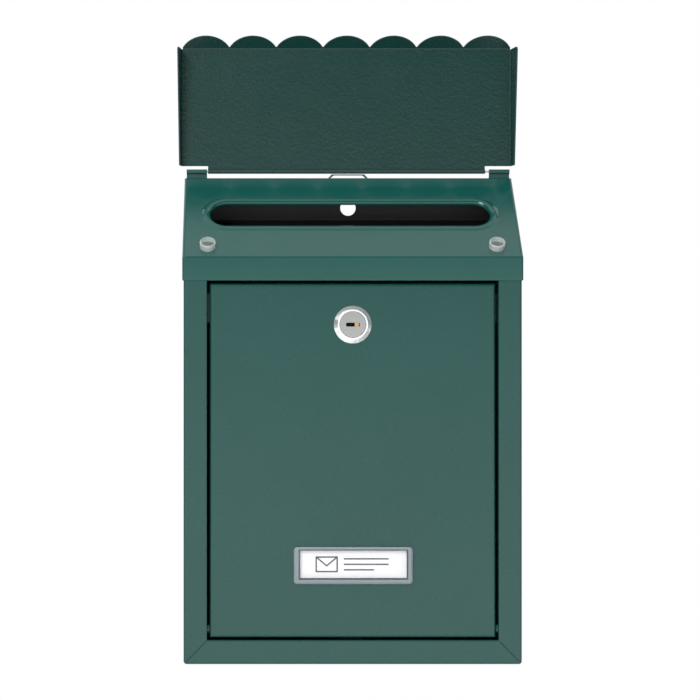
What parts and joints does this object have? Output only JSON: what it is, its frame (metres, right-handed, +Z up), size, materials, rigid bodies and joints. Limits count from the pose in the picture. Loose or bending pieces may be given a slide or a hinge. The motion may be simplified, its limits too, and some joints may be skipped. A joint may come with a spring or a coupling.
{
  "type": "wall mounted mailbox",
  "caption": "Wall mounted letter box in folded green sheet steel with a sloping slotted top, scalloped hinged lid, locking front door and name plate.",
  "frame": {"origin": "on the wall plane, half way between the two wall screw holes", "axes": "+Z up, the front faces -Y, +Y points into the wall, +X to the viewer's right"},
  "size_m": [0.2184, 0.0591, 0.3978],
  "materials": {
    "green_coat": "semi-gloss powder coat with a fine orange-peel texture",
    "plated_steel": "zinc plated",
    "lock_chrome": "polished, with a satin plug face",
    "wafer_brass": "plain",
    "clear_plastic": "clear, soft",
    "window_plastic": "clear, glossy",
    "card_paper": "white card, matt"
  },
  "bodies": {
    "case": {"body_wrap": "green_coat", "back_panel": "green_coat", "top_hood": "green_coat", "bumper_left": "clear_plastic", "bumper_right": "clear_plastic", "lid_hinge_pin": "plated_steel", "door_pivot_pins": "green_coat", "door_stop_left": "green_coat", "door_stop_right": "green_coat"},
    "lid": {"lid": "green_coat"},
    "door": {"door": "green_coat", "lock_housing": "lock_chrome", "lock_nut": "plated_steel", "lock_washer": "plated_steel", "name_window": "window_plastic", "name_card": "card_paper", "name_window_clips": "plated_steel"},
    "plug": {"lock_plug": "lock_chrome", "lock_wafers": "wafer_brass", "lock_cam": "plated_steel", "cam_washer": "plated_steel", "cam_screw": "plated_steel"}
  },
  "joints": [
    {"name": "lid_hinge", "type": "hinge", "parent": "case", "child": "lid", "pos_m": [0, -0.00145, 0.14705], "axis": [1, 0, 0], "range_deg": [0, 132.58]},
    {"name": "door_hinge", "type": "hinge", "parent": "case", "child": "door", "pos_m": [0, -0.0517, -0.1419], "axis": [1, 0, 0], "range_deg": [0, 100]},
    {"name": "lock_turn", "type": "hinge", "parent": "door", "child": "plug", "pos_m": [0, -0.04138, 0.04713], "axis": [0, 1, -0.007], "range_deg": [0, 90]}
  ]
}
